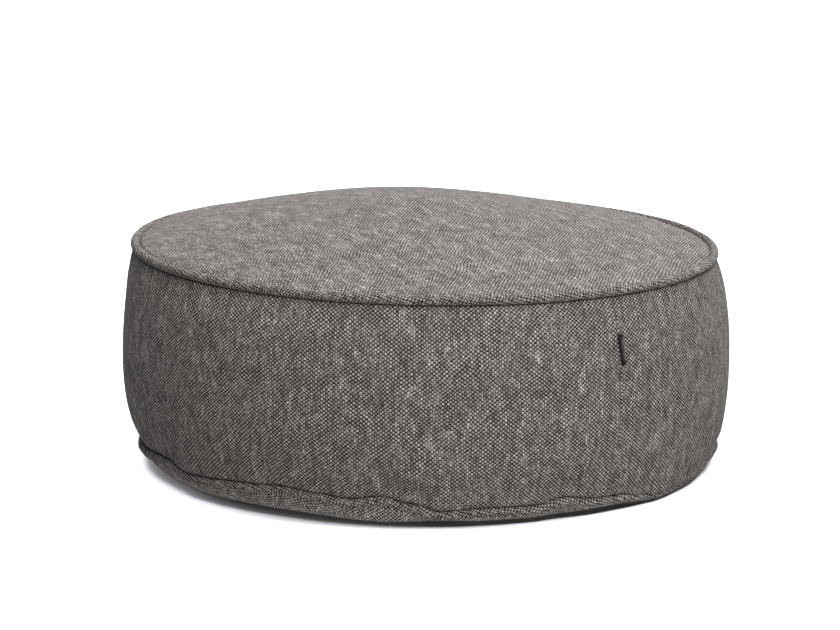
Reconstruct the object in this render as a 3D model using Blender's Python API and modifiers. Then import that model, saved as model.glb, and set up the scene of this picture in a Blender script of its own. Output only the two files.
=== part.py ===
"""Garden pouf: a filled round floor cushion of woven outdoor cloth, in metres.

Six solids stand for the six sewn pieces:
    side_band       the filled drum, whose outer face is the strip of cloth round the side
    top_panel       the crowned round of cloth that closes the top
    bottom_panel    the round of cloth underneath, which lies flat on the floor
    top_piping      the corded edge in the upper round seam
    bottom_piping   the corded edge in the lower round seam, which waves up and down
    side_label      the folded bare tab in the side band's joining seam

The cushion has settled, so its sections differ all the way round. A section is
worked out for each direction, and a skin is lofted from one section to the next.
Directions are given in degrees from the front, which is -Y, growing towards +X,
the pouf's right-hand side. The origin lies on the floor under the middle.
"""
import math
from collections import namedtuple

import bmesh
import bpy
from mathutils import Matrix, Vector

# Driving dimensions
SEAM_RADIUS = 0.3830
TOP_SEAM_HEIGHT = 0.288
TOP_SEAM_LEAN = 0.0067
BELLY = 0.019
BELLY_FLATNESS = 2.4
DRAW_IN = 8.0
CROWN = 0.063
CROWN_SHIFT = -0.060
CROWN_SLOPE = 1.6
CLOTH = 0.002
PIPING_RADIUS = 0.006
GAP = 0.0005
PIPING_GAP = 0.0008
CURL_GAP = 0.0009

# The panels' rims, measured from the centre of the piping
RIM_INSET = 0.0052
RIM_LIFT = 0.0034

# The band's edges lie this far from the centre of the piping. The upper one is
# turned this many degrees about it, and the lower one as its table says. Folds
# die out over a strip next to each edge, though some of their depth reaches the
# lower one.
EDGE_REACH = 0.0074
UPPER_TURN = -66.0
FOLD_EDGE_STRIP = 1.0 / 12.0
FOLD_AT_LOWER_EDGE = 0.4

# The joining seam of the side band and the tab sewn into it
JOIN_ANGLE = 37.4
JOIN_DEPTH = 0.0015
JOIN_HALF_WIDTH = 0.006
LABEL_LOW = 0.1905
LABEL_HIGH = 0.2335
LABEL_REACH = 0.013
LABEL_RIBBON = 0.001
LABEL_SPLIT = 0.0006
LABEL_SEAT = 0.0011
LABEL_LEAN = 5.0

# Fineness of the lofts
SECTIONS_ROUND = 84
CROWN_RINGS = (0.0, 0.3, 0.5, 0.68, 0.82, 0.92, 0.975, 1.0)
FILL_RINGS = (0.0, 0.5, 0.82, 0.975, 1.0)
BAND_RINGS = (0.0, 0.03, 0.07, 0.12, 0.18, 0.26, 0.36, 0.47, 0.58, 0.69, 0.79, 0.88, 0.95, 1.0)
CURL_STEPS = 4
GROOVE_STEPS = 4
ARC_STEPS = 4
JOIN_CLEAR_STEPS = 0.6
SAME_PLACE = 1e-7

# The upper seam sags a little where nobody has sat it straight: the direction,
# how far the sag spreads in degrees, and how deep it is.
SagRow = namedtuple("SagRow", "angle spread depth")
UPPER_SAGS = (
    SagRow(-145, 22, 0.0040),
    SagRow(142, 18, 0.0022),
)

# The lower seam, row by row: the height of the piping's centre, how far it is
# drawn inwards, the radius at which the cloth underneath leaves the floor, and
# how the band's edge is turned about the piping: 90 ends on top of it, and a
# small turn rolls the band down over it.
SeamRow = namedtuple("SeamRow", "angle height tuck tread turn")
LOWER_SEAM = (
    SeamRow(-92, 0.0230, 0.006, 0.345, 90),
    SeamRow(-76, 0.0275, 0.006, 0.342, 90),
    SeamRow(-64, 0.0330, 0.006, 0.340, 85),
    SeamRow(-59, 0.0330, 0.005, 0.338, 70),
    SeamRow(-54, 0.0265, 0.004, 0.337, 66),
    SeamRow(-47, 0.0280, 0.004, 0.337, 66),
    SeamRow(-38, 0.0320, 0.004, 0.334, 66),
    SeamRow(-28, 0.0355, 0.004, 0.335, 66),
    SeamRow(-20, 0.0310, 0.004, 0.344, 66),
    SeamRow(-15, 0.0275, 0.004, 0.354, 66),
    SeamRow(-8, 0.0320, 0.005, 0.360, 66),
    SeamRow(-3, 0.0235, 0.005, 0.352, 66),
    SeamRow(3, 0.0140, 0.004, 0.338, 60),
    SeamRow(11, 0.0165, 0.003, 0.354, 66),
    SeamRow(21, 0.0155, 0.003, 0.356, 66),
    SeamRow(27, 0.0215, 0.004, 0.352, 66),
    SeamRow(34, 0.0155, 0.003, 0.352, 60),
    SeamRow(40, 0.0140, 0.003, 0.352, 60),
    SeamRow(45, 0.0100, 0.003, 0.354, 40),
    SeamRow(50, 0.0075, 0.002, 0.358, 15),
    SeamRow(61, 0.0075, 0.006, 0.358, 12),
    SeamRow(75, 0.0090, 0.008, 0.354, 20),
    SeamRow(92, 0.0100, 0.008, 0.352, 20),
    SeamRow(120, 0.0170, 0.004, 0.350, 50),
    SeamRow(146, 0.0210, 0.005, 0.348, 66),
    SeamRow(170, 0.0160, 0.004, 0.352, 60),
    SeamRow(196, 0.0230, 0.006, 0.346, 66),
    SeamRow(222, 0.0190, 0.005, 0.350, 66),
    SeamRow(246, 0.0250, 0.007, 0.347, 70),
)

# Soft folds of the side band, row by row: where the middle of the fold lies, how
# far it runs each way, how wide it is to each side, how its run is turned from
# upright towards the right, and how deep it sinks. A ridge has a negative depth.
FoldRow = namedtuple("FoldRow", "angle height run width turn depth")
BAND_FOLDS = (
    FoldRow(-10, 0.156, 0.044, 0.016, 118, 0.0035),
    FoldRow(-6, 0.050, 0.026, 0.013, 108, 0.0045),
    FoldRow(-1, 0.068, 0.032, 0.016, 125, -0.0030),
    FoldRow(28, 0.039, 0.016, 0.016, 90, 0.0045),
    FoldRow(-22, 0.186, 0.060, 0.016, 0, -0.0020),
    FoldRow(12, 0.070, 0.045, 0.018, 8, -0.0025),
    FoldRow(-60, 0.044, 0.022, 0.014, 10, 0.0060),
    FoldRow(-40, 0.058, 0.030, 0.018, 20, 0.0030),
    FoldRow(-88, 0.226, 0.060, 0.160, 0, 0.0045),
    FoldRow(88, 0.033, 0.100, 0.007, 90, 0.0040),
    FoldRow(88, 0.020, 0.100, 0.008, 90, -0.0060),
    FoldRow(66, 0.060, 0.035, 0.018, -25, 0.0025),
    FoldRow(128, 0.060, 0.040, 0.018, 15, 0.0035),
    FoldRow(165, 0.120, 0.050, 0.018, 60, 0.0030),
    FoldRow(205, 0.052, 0.034, 0.016, -20, 0.0040),
    FoldRow(240, 0.110, 0.050, 0.020, 110, 0.0025),
)

Seam = namedtuple("Seam", "radius height")


def nearest_turn(degrees):
    """The same direction, between -180 and 180 degrees."""
    return (degrees + 180.0) % 360.0 - 180.0


def direction(degrees):
    """Unit vector that points outwards from the middle."""
    a = math.radians(degrees)
    return Vector((math.sin(a), -math.cos(a), 0.0))


def along_lower_seam(column, degrees):
    """One column of the lower seam's table, eased from row to row."""
    last = len(LOWER_SEAM) - 1
    for i, row in enumerate(LOWER_SEAM):
        following = LOWER_SEAM[0] if i == last else LOWER_SEAM[i + 1]
        width = (following.angle - row.angle) % 360.0
        reached = (degrees - row.angle) % 360.0
        if reached < width:
            s = reached / width
            ease = s * s * (3.0 - 2.0 * s)
            start = getattr(row, column)
            return start + (getattr(following, column) - start) * ease
    return getattr(LOWER_SEAM[0], column)


def upper_seam(degrees):
    """Centre of the upper piping: a circle that leans, its left side higher."""
    lift = -TOP_SEAM_LEAN * direction(degrees).x
    for sag in UPPER_SAGS:
        lift -= sag.depth * math.exp(-(nearest_turn(degrees - sag.angle) / sag.spread) ** 2)
    return Seam(SEAM_RADIUS, TOP_SEAM_HEIGHT + lift)


def lower_seam(degrees):
    """Centre of the lower piping."""
    tuck = along_lower_seam("tuck", degrees)
    return Seam(SEAM_RADIUS - tuck, along_lower_seam("height", degrees))


def place(degrees, radius, height):
    """Point at a radius and height in one direction."""
    point = direction(degrees) * radius
    point.z = height
    return point


def fold_depth(degrees, height):
    """How far the folds draw the side band in at one place."""
    depth = 0.0
    for fold in BAND_FOLDS:
        aside = math.radians(nearest_turn(degrees - fold.angle)) * SEAM_RADIUS
        above = height - fold.height
        turn = math.radians(fold.turn)
        along = above * math.cos(turn) + aside * math.sin(turn)
        across = aside * math.cos(turn) - above * math.sin(turn)
        reach = (along / fold.run) ** 2 + (across / fold.width) ** 2
        depth += fold.depth * math.exp(-reach)
    return depth


def join_depth(degrees):
    """Groove of the joining seam."""
    aside = abs(math.radians(nearest_turn(degrees - JOIN_ANGLE))) * SEAM_RADIUS
    return JOIN_DEPTH * max(0.0, 1.0 - aside / JOIN_HALF_WIDTH)


def around(seam, reach, turn):
    """Radius and height of a place beside a piping, turned about its centre."""
    a = math.radians(turn)
    return Seam(seam.radius + reach * math.cos(a), seam.height + reach * math.sin(a))


def band_point(degrees, rise):
    """Point on the side band; rise is 0 at its lower edge and 1 at its upper."""
    low = around(lower_seam(degrees), EDGE_REACH, along_lower_seam("turn", degrees))
    top = around(upper_seam(degrees), EDGE_REACH, UPPER_TURN)
    height = low.height + (top.height - low.height) * rise
    drawn_in = (top.radius - low.radius) * (1.0 - rise) ** DRAW_IN
    swell = BELLY * (1.0 - abs(2.0 * rise - 1.0) ** BELLY_FLATNESS)
    above = (1.0 - rise) / FOLD_EDGE_STRIP
    below = rise / FOLD_EDGE_STRIP + FOLD_AT_LOWER_EDGE
    fade = min(1.0, above, below)
    sink = fold_depth(degrees, height) * fade + join_depth(degrees)
    return place(degrees, top.radius - drawn_in + swell - sink, height)


def crown_point(degrees, share, below=0.0):
    """Point on the crown; share is 0 at its peak and 1 at the rim."""
    seam = upper_seam(degrees)
    rim = seam.radius - RIM_INSET - below
    point = direction(degrees) * rim * share
    point.x += CROWN_SHIFT * (1.0 - share)
    rim_height = TOP_SEAM_HEIGHT + (seam.height - TOP_SEAM_HEIGHT) * share + RIM_LIFT
    point.z = rim_height + CROWN * (1.0 - share ** CROWN_SLOPE) - below
    return point


def curl_points(degrees, inside=0.0):
    """Quarter arc from the lower seam down to the flat underside, or a skin
    that lies some way inside it."""
    seam = lower_seam(degrees)
    tread = along_lower_seam("tread", degrees)
    reach = seam.radius - RIM_INSET - tread
    rise = seam.height - RIM_LIFT
    points = []
    for i in range(CURL_STEPS, -1, -1):
        a = 0.5 * math.pi * i / CURL_STEPS
        inward = Vector((-rise * math.sin(a), reach * math.cos(a))).normalized() * inside
        radius = tread + reach * math.sin(a) + inward.x
        points.append(place(degrees, radius, rise * (1.0 - math.cos(a)) + inward.y))
    return points


def groove_points(degrees, seam, start, end):
    """Bed of a piping, from one turn about its centre to just short of another."""
    points = []
    for i in range(GROOVE_STEPS):
        turn = start + (end - start) * i / GROOVE_STEPS
        points.append(place(degrees, *around(seam, PIPING_RADIUS + PIPING_GAP, turn)))
    return points


def top_panel_section(degrees):
    return [crown_point(degrees, share) for share in CROWN_RINGS]


def bottom_panel_section(degrees):
    return curl_points(degrees) + [Vector((0.0, 0.0, 0.0))]


def side_band_section(degrees):
    """Outline of the filled drum, from the middle of its crown to its base."""
    inside = CLOTH + GAP
    points = [crown_point(degrees, share, inside) for share in FILL_RINGS]
    points += groove_points(degrees, upper_seam(degrees), -180.0, UPPER_TURN)
    points += [band_point(degrees, rise) for rise in reversed(BAND_RINGS)]
    lower_turn = along_lower_seam("turn", degrees)
    points += reversed(groove_points(degrees, lower_seam(degrees), 180.0, lower_turn))
    points += curl_points(degrees, CLOTH + CURL_GAP)
    return points + [Vector((0.0, 0.0, CLOTH + CURL_GAP))]


def section_angles():
    """Evenly spaced directions, and three more on the joining seam."""
    step = 360.0 / SECTIONS_ROUND
    edge = math.degrees(JOIN_HALF_WIDTH / SEAM_RADIUS)
    close = JOIN_CLEAR_STEPS * step
    even = [i * step for i in range(SECTIONS_ROUND)]
    kept = [a for a in even if abs(nearest_turn(a - JOIN_ANGLE)) > close]
    return sorted(kept + [JOIN_ANGLE - edge, JOIN_ANGLE, JOIN_ANGLE + edge])


def material(name, colour, roughness):
    made = bpy.data.materials.new(name)
    made.use_nodes = True
    shader = made.node_tree.nodes["Principled BSDF"]
    shader.inputs["Base Color"].default_value = (*colour, 1.0)
    shader.inputs["Roughness"].default_value = roughness
    shader.inputs["Metallic"].default_value = 0.0
    return made


def add_to_pouf(name, data, collection, look):
    data.materials.append(look)
    obj = bpy.data.objects.new(name, data)
    collection.objects.link(obj)
    return obj


def loft(name, section, collection, look):
    """Skin through the section at every direction. An end of the section that
    lies at one place for all directions closes in a single point."""
    sections = [section(angle) for angle in section_angles()]
    count = len(sections)
    bm = bmesh.new()
    rings = []
    for points in zip(*sections):
        if max((p - points[0]).length for p in points) < SAME_PLACE:
            rings.append([bm.verts.new(points[0])] * count)
        else:
            rings.append([bm.verts.new(p) for p in points])
    for inner, outer in zip(rings, rings[1:]):
        for i in range(count):
            j = (i + 1) % count
            corners = [inner[i], outer[i], outer[j], inner[j]]
            bm.faces.new(list(dict.fromkeys(corners)))
    bmesh.ops.recalc_face_normals(bm, faces=bm.faces[:])
    mesh = bpy.data.meshes.new(name)
    bm.to_mesh(mesh)
    bm.free()
    mesh.shade_smooth()
    return add_to_pouf(name, mesh, collection, look)


def cloth_sheet(name, section, collection, look, outward):
    """Open skin made into cloth; outward is the way its middle faces."""
    sheet = loft(name, section, collection, look)
    if sheet.data.polygons[0].normal.dot(outward) < 0.0:
        sheet.data.flip_normals()
    solidify = sheet.modifiers.new("cloth thickness", "SOLIDIFY")
    solidify.thickness = CLOTH
    solidify.offset = -1.0
    solidify.use_even_offset = True
    return sheet


def piping(name, seam, collection, look):
    """Corded edge that follows a round seam."""
    curve = bpy.data.curves.new(name, "CURVE")
    curve.dimensions = "3D"
    curve.twist_mode = "Z_UP"
    curve.bevel_depth = PIPING_RADIUS
    curve.bevel_resolution = 2
    angles = section_angles()
    spline = curve.splines.new("POLY")
    spline.points.add(len(angles) - 1)
    for point, angle in zip(spline.points, angles):
        centre = seam(angle)
        point.co = (*place(angle, centre.radius, centre.height), 1.0)
    spline.use_cyclic_u = True
    spline.use_smooth = True
    return add_to_pouf(name, curve, collection, look)


def arc(centre_x, radius, start, end):
    """Points of an arc about (centre_x, 0), between two turns in degrees."""
    points = []
    for i in range(ARC_STEPS + 1):
        a = math.radians(start + (end - start) * i / ARC_STEPS)
        points.append((centre_x + radius * math.cos(a), radius * math.sin(a)))
    return points


def side_label(collection, look):
    """Ribbon folded in two, its fold outwards and its ends in the joining seam."""
    inner = 0.5 * LABEL_SPLIT
    outer = inner + LABEL_RIBBON
    bend = LABEL_REACH - outer
    outline = [(0.0, -outer)] + arc(bend, outer, -90, 90) + [(0.0, outer), (0.0, inner)]
    outline += arc(bend, inner, 90, -90) + [(0.0, -inner)]
    curve = bpy.data.curves.new("side_label", "CURVE")
    curve.dimensions = "2D"
    curve.fill_mode = "BOTH"
    curve.extrude = 0.5 * (LABEL_HIGH - LABEL_LOW)
    spline = curve.splines.new("POLY")
    spline.points.add(len(outline) - 1)
    for point, (x, y) in zip(spline.points, outline):
        point.co = (x, y, 0.0, 1.0)
    spline.use_cyclic_u = True
    label = add_to_pouf("side_label", curve, collection, look)

    low = seam_bed(LABEL_LOW)
    high = seam_bed(LABEL_HIGH)
    up = (high - low).normalized()
    out = direction(JOIN_ANGLE)
    out = (out - up * out.dot(up)).normalized()
    turn = Matrix((out, up.cross(out), up)).transposed().to_4x4()
    seat = seam_bed(0.5 * (LABEL_LOW + LABEL_HIGH)) + out * LABEL_SEAT
    lean = Matrix.Rotation(math.radians(LABEL_LEAN), 4, "X")
    label.matrix_world = Matrix.Translation(seat) @ turn @ lean
    return label


def seam_bed(height):
    """Bottom of the joining seam's groove at one height."""
    low = band_point(JOIN_ANGLE, 0.0).z
    high = band_point(JOIN_ANGLE, 1.0).z
    return band_point(JOIN_ANGLE, (height - low) / (high - low))


def clear_scene():
    for obj in list(bpy.data.objects):
        bpy.data.objects.remove(obj, do_unlink=True)


def main():
    clear_scene()
    pouf = bpy.data.collections.new("garden_pouf")
    bpy.context.scene.collection.children.link(pouf)

    band_cloth = material("band cloth", (0.150, 0.141, 0.133), 0.9)
    panel_cloth = material("panel cloth", (0.185, 0.174, 0.165), 0.9)
    underside_cloth = material("underside cloth", (0.140, 0.132, 0.125), 0.9)
    piping_cloth = material("piping cloth", (0.165, 0.155, 0.147), 0.9)
    ribbon = material("label ribbon", (0.012, 0.011, 0.011), 0.7)

    loft("side_band", side_band_section, pouf, band_cloth)
    cloth_sheet("top_panel", top_panel_section, pouf, panel_cloth, Vector((0, 0, 1)))
    cloth_sheet("bottom_panel", bottom_panel_section, pouf, underside_cloth, Vector((0, 0, -1)))
    piping("top_piping", upper_seam, pouf, piping_cloth)
    piping("bottom_piping", lower_seam, pouf, piping_cloth.copy())
    side_label(pouf, ribbon)


main()
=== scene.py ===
# %% [markdown]
# # A garden pouf in woven outdoor cloth
# The pouf is a round floor cushion: a round of cloth on top, a round underneath, a strip of the same
# cloth round the side, and a corded edge in each of the two round seams. It has stood and been sat on,
# so its belly swells, its lower seam waves up and down, and its crown leans to the left. This file
# dresses the pouf's solids, which come in with the frame, and sets up the floor, light and camera to
# photograph it.

# %% Load the solids that the pouf is dressed on
import math
from collections import namedtuple

import bpy
import numpy as np
from mathutils import Matrix, Vector


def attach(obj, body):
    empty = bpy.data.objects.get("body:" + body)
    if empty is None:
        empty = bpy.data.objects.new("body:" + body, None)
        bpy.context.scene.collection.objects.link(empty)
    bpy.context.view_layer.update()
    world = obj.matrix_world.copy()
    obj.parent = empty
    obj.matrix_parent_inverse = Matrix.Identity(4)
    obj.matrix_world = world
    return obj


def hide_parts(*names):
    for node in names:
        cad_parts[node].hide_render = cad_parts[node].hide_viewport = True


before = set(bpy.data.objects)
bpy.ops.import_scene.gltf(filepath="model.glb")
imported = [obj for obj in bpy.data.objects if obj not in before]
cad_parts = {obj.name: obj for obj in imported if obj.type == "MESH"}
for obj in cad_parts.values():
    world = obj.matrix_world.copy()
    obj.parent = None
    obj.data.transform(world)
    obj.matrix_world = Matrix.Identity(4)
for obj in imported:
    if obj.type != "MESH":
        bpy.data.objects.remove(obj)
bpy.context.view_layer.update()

print("solids:", sorted(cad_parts))

# %% [markdown]
# ## The pouf's own sizes
# Every piece of the cover follows two round seams. The upper one is nearly a level
# circle. The lower one was pushed about as the pouf was dragged and sat on, so it is
# written as a table, one row for each place where its height turns. One could model
# the cover by hand with a grab brush, but a table keeps all the pieces on the same
# seam, and a row can be changed without spoiling its neighbours.
#
# Lengths are in metres. Directions are degrees from the front, growing towards the
# right, so the left is at -90 and the back at 180.

# %% Sizes and tables of the seams
# The cords' centre lines, and how far the upper one drops towards the right
SEAM_RADIUS = 0.3830
TOP_SEAM_HEIGHT = 0.288
TOP_SEAM_LEAN = 0.0067
# The side's swell at half height, and how close to the lower seam it draws in
BELLY = 0.019
BELLY_FLATNESS = 2.4
DRAW_IN = 8.0
# The crown's height over its rim, its lean to the left, and its slope
CROWN = 0.063
CROWN_SHIFT = -0.060
CROWN_SLOPE = 1.6
# Thickness of the cloth and the cord, and the air between the pieces
CLOTH = 0.002
PIPING_RADIUS = 0.006
GAP = 0.0005
PIPING_GAP = 0.0008
CURL_GAP = 0.0009
# Where both rounds end beside the cord
RIM_INSET = 0.0052
RIM_LIFT = 0.0034
# Where the side cloth ends beside the cord, and how the folds die out there
EDGE_REACH = 0.0074
UPPER_TURN = -66.0
FOLD_EDGE_STRIP = 1.0 / 12.0
FOLD_AT_LOWER_EDGE = 0.4
JOIN_ANGLE = 37.4

SagRow = namedtuple("SagRow", "angle spread depth")
UPPER_SAGS = (
    SagRow(-145, 22, 0.0040),
    SagRow(142, 18, 0.0022),
)

# The tuck draws the lower seam in, the tread is where the flat underside ends, and
# the turn places the side cloth's edge about the cord.
SeamRow = namedtuple("SeamRow", "angle height tuck tread turn")
LOWER_SEAM = tuple(SeamRow(*row) for row in (
    (-92, 0.0230, 0.006, 0.345, 90),
    (-76, 0.0275, 0.006, 0.342, 90),
    (-64, 0.0330, 0.006, 0.340, 85),
    (-59, 0.0330, 0.005, 0.338, 70),
    (-54, 0.0265, 0.004, 0.337, 66),
    (-47, 0.0280, 0.004, 0.337, 66),
    (-38, 0.0320, 0.004, 0.334, 66),
    (-28, 0.0355, 0.004, 0.335, 66),
    (-20, 0.0310, 0.004, 0.344, 66),
    (-15, 0.0275, 0.004, 0.354, 66),
    (-8, 0.0320, 0.005, 0.360, 66),
    (-3, 0.0235, 0.005, 0.352, 66),
    (3, 0.0140, 0.004, 0.338, 60),
    (11, 0.0165, 0.003, 0.354, 66),
    (21, 0.0155, 0.003, 0.356, 66),
    (27, 0.0215, 0.004, 0.352, 66),
    (34, 0.0155, 0.003, 0.352, 60),
    (40, 0.0140, 0.003, 0.352, 60),
    (45, 0.0100, 0.003, 0.354, 40),
    (50, 0.0075, 0.002, 0.358, 15),
    (61, 0.0075, 0.006, 0.358, 12),
    (75, 0.0090, 0.008, 0.354, 20),
    (92, 0.0100, 0.008, 0.352, 20),
    (120, 0.0170, 0.004, 0.350, 50),
    (146, 0.0210, 0.005, 0.348, 66),
    (170, 0.0160, 0.004, 0.352, 60),
    (196, 0.0230, 0.006, 0.346, 66),
    (222, 0.0190, 0.005, 0.350, 66),
    (246, 0.0250, 0.007, 0.347, 70),
))

# The run is a fold's reach along itself and the width its reach across. The turn
# leans it to the right, and a negative depth stands out as a ridge.
FoldRow = namedtuple("FoldRow", "angle height run width turn depth")
BAND_FOLDS = tuple(FoldRow(*row) for row in (
    (-10, 0.156, 0.044, 0.016, 118, 0.0035),
    (-6, 0.050, 0.026, 0.013, 108, 0.0045),
    (-1, 0.068, 0.032, 0.016, 125, -0.0030),
    (28, 0.039, 0.016, 0.016, 90, 0.0045),
    (-22, 0.186, 0.060, 0.016, 0, -0.0020),
    (12, 0.070, 0.045, 0.018, 8, -0.0025),
    (-60, 0.044, 0.022, 0.014, 10, 0.0060),
    (-40, 0.058, 0.030, 0.018, 20, 0.0030),
    (-88, 0.226, 0.060, 0.160, 0, 0.0045),
    (88, 0.033, 0.100, 0.007, 90, 0.0040),
    (88, 0.020, 0.100, 0.008, 90, -0.0060),
    (66, 0.060, 0.035, 0.018, -25, 0.0025),
    (128, 0.060, 0.040, 0.018, 15, 0.0035),
    (165, 0.120, 0.050, 0.018, 60, 0.0030),
    (205, 0.052, 0.034, 0.016, -20, 0.0040),
    (240, 0.110, 0.050, 0.020, 110, 0.0025),
))
print("rows of the lower seam:", len(LOWER_SEAM), "and folds:", len(BAND_FOLDS))

# %% [markdown]
# ## Points on the seams
# The pieces are grids of points, so the sums are done for a whole ring of
# directions at once. A seam is a radius and a height in each direction, and a place
# beside its cord is a turn about the cord's centre.

# %% Seams, and places beside a cord
Seam = namedtuple("Seam", "radius height")


def nearest_turn(degrees):
    return (degrees + 180.0) % 360.0 - 180.0


def place(degrees, radius, height):
    """Points at a radius and a height in each direction."""
    a = np.radians(degrees)
    return np.stack(np.broadcast_arrays(radius * np.sin(a), -radius * np.cos(a), height), -1)


def along_lower_seam(column, degrees):
    """One column of the lower seam's table, eased from row to row."""
    spots = np.array([row.angle for row in LOWER_SEAM] + [LOWER_SEAM[0].angle + 360.0])
    values = np.array([getattr(row, column) for row in LOWER_SEAM + LOWER_SEAM[:1]])
    turned = (degrees - spots[0]) % 360.0 + spots[0]
    i = np.clip(np.searchsorted(spots, turned, side="right") - 1, 0, len(spots) - 2)
    s = (turned - spots[i]) / (spots[i + 1] - spots[i])
    return values[i] + (values[i + 1] - values[i]) * s * s * (3.0 - 2.0 * s)


def upper_seam(degrees):
    height = TOP_SEAM_HEIGHT - TOP_SEAM_LEAN * np.sin(np.radians(degrees))
    for sag in UPPER_SAGS:
        height = height - sag.depth * np.exp(-(nearest_turn(degrees - sag.angle) / sag.spread) ** 2)
    return Seam(SEAM_RADIUS, height)


def lower_seam(degrees):
    return Seam(SEAM_RADIUS - along_lower_seam("tuck", degrees), along_lower_seam("height", degrees))


def beside(seam, reach, turn):
    """A place this far from the cord's centre, turned this far from outwards."""
    a = np.radians(turn)
    return Seam(seam.radius + reach * np.cos(a), seam.height + reach * np.sin(a))


front = np.array([0.0])
print("front seam heights, mm:", upper_seam(front).height * 1000, lower_seam(front).height * 1000)

# %% [markdown]
# ## Small creases, and the shoulders of the crown
# Where cloth is eased into a corded seam it puckers, so short creases run away from both seams at
# random places. A few longer ones stand in the side, listed one by one, and the last row there is no
# crease but a broad shallow hollow at the left. The crown has low shoulders near its rim, the highest
# at the back left. A brush could draw all of this, but rows keep each one's place and depth in sight.

# %% Rows of creases and shoulders
PUCKER_SEED = 11
PUCKERS_PER_SEAM = 54
PUCKER_EDGE_STRIP = 1.0 / 60.0
UPPER_PUCKER_HEIGHTS = (0.246, 0.272)
LOWER_PUCKER_HEIGHTS = (0.030, 0.056)


def puckers(seed):
    """Short creases that run away from the upper and the lower seam."""
    rng = np.random.default_rng(seed)
    rows = []
    for i in range(2 * PUCKERS_PER_SEAM):
        heights = UPPER_PUCKER_HEIGHTS if i % 2 == 0 else LOWER_PUCKER_HEIGHTS
        rows.append(FoldRow(angle=rng.uniform(-180.0, 180.0),
                            height=rng.uniform(*heights),
                            run=rng.uniform(0.012, 0.034),
                            width=rng.uniform(0.0035, 0.0085),
                            turn=rng.uniform(-16.0, 16.0),
                            depth=rng.uniform(0.0006, 0.0019)))
    return tuple(rows)


PUCKERS = puckers(PUCKER_SEED)
CREASES = tuple(FoldRow(*row) for row in (
    (76, 0.225, 0.055, 0.0075, -4, 0.0028),
    (64, 0.150, 0.070, 0.0110, 3, 0.0016),
    (56, 0.090, 0.050, 0.0090, -3, 0.0016),
    (20, 0.120, 0.060, 0.0110, 2, 0.0012),
    (-33, 0.205, 0.050, 0.0090, -2, 0.0012),
    (-48, 0.150, 0.060, 0.0100, 4, 0.0014),
    (-62, 0.210, 0.050, 0.0080, 0, 0.0016),
    (-74, 0.120, 0.060, 0.0090, 3, 0.0018),
    (-90, 0.135, 0.080, 0.1500, 0, 0.0030),
))

# The share is how far out on the crown a shoulder lies, and its spread is in degrees.
SHOULDER_EDGE_STRIP = 0.02
ShoulderRow = namedtuple("ShoulderRow", "angle spread share width lift")
SHOULDERS = (
    ShoulderRow(-122, 30, 0.950, 0.030, 0.0050),
    ShoulderRow(-60, 26, 0.955, 0.020, 0.0022),
    ShoulderRow(128, 26, 0.955, 0.024, 0.0022),
    ShoulderRow(20, 30, 0.960, 0.018, 0.0012),
)
print("creases at the seams:", len(PUCKERS), "on the side:", len(CREASES))

# %% [markdown]
# ## The filled body with the strip of side cloth
# Cloth over a filling is never an even barrel. It swells between its seams, and it
# keeps soft troughs where the filling has settled. The body is a closed skin lofted
# through one outline for each direction. It starts under the top round, runs down
# into the bed of the upper cord, over the belly, into the bed of the lower cord and
# in under the bottom round. Folds and creases are added on the way and die out at the
# seams, and just over the lower cord the cloth rolls out a little.

# %% The outline of the body in every direction
# Rings over the crown, down the side, in each cord's bed and round the curl
FILL_SHARES = (0.0, 0.3, 0.6, 0.78, 0.86, 0.91, 0.94, 0.96, 0.975, 0.985, 1.0)
BAND_ROWS = 66
BED_STEPS = 6
CURL_STEPS = 7
# Directions round the pouf
ROUND = 480
LOWER_ROLL = 0.0024
LOWER_ROLL_HEIGHT = 0.0045
LOWER_ROLL_WIDTH = 0.0050


def fold_depth(folds, degrees, height):
    """How deep a table's folds are in these directions and at these heights."""
    depth = np.zeros(np.broadcast(degrees, height).shape)
    for fold in folds:
        aside = np.radians(nearest_turn(degrees - fold.angle)) * SEAM_RADIUS
        above = height - fold.height
        turn = math.radians(fold.turn)
        along = above * math.cos(turn) + aside * math.sin(turn)
        across = aside * math.cos(turn) - above * math.sin(turn)
        depth = depth + fold.depth * np.exp(-(along / fold.run) ** 2 - (across / fold.width) ** 2)
    return depth


def band_points(degrees, rise):
    """Side cloth; rise is 0 at its lower edge and 1 at its upper edge."""
    low = beside(lower_seam(degrees), EDGE_REACH, along_lower_seam("turn", degrees))
    top = beside(upper_seam(degrees), EDGE_REACH, UPPER_TURN)
    height = low.height + (top.height - low.height) * rise
    drawn_in = (top.radius - low.radius) * (1.0 - rise) ** DRAW_IN
    swell = BELLY * (1.0 - np.abs(2.0 * rise - 1.0) ** BELLY_FLATNESS)
    fade = np.minimum((1.0 - rise) / FOLD_EDGE_STRIP, rise / FOLD_EDGE_STRIP + FOLD_AT_LOWER_EDGE)
    sink = fold_depth(BAND_FOLDS + CREASES, degrees, height) * np.minimum(1.0, fade)
    fade = np.minimum(1.0 - rise, rise) / PUCKER_EDGE_STRIP
    sink = sink + fold_depth(PUCKERS, degrees, height) * np.minimum(1.0, fade)
    from_roll = (height - low.height - LOWER_ROLL_HEIGHT) / LOWER_ROLL_WIDTH
    roll = LOWER_ROLL * np.exp(-from_roll ** 2)
    return place(degrees, top.radius - drawn_in + swell + roll - sink, height)


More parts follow.
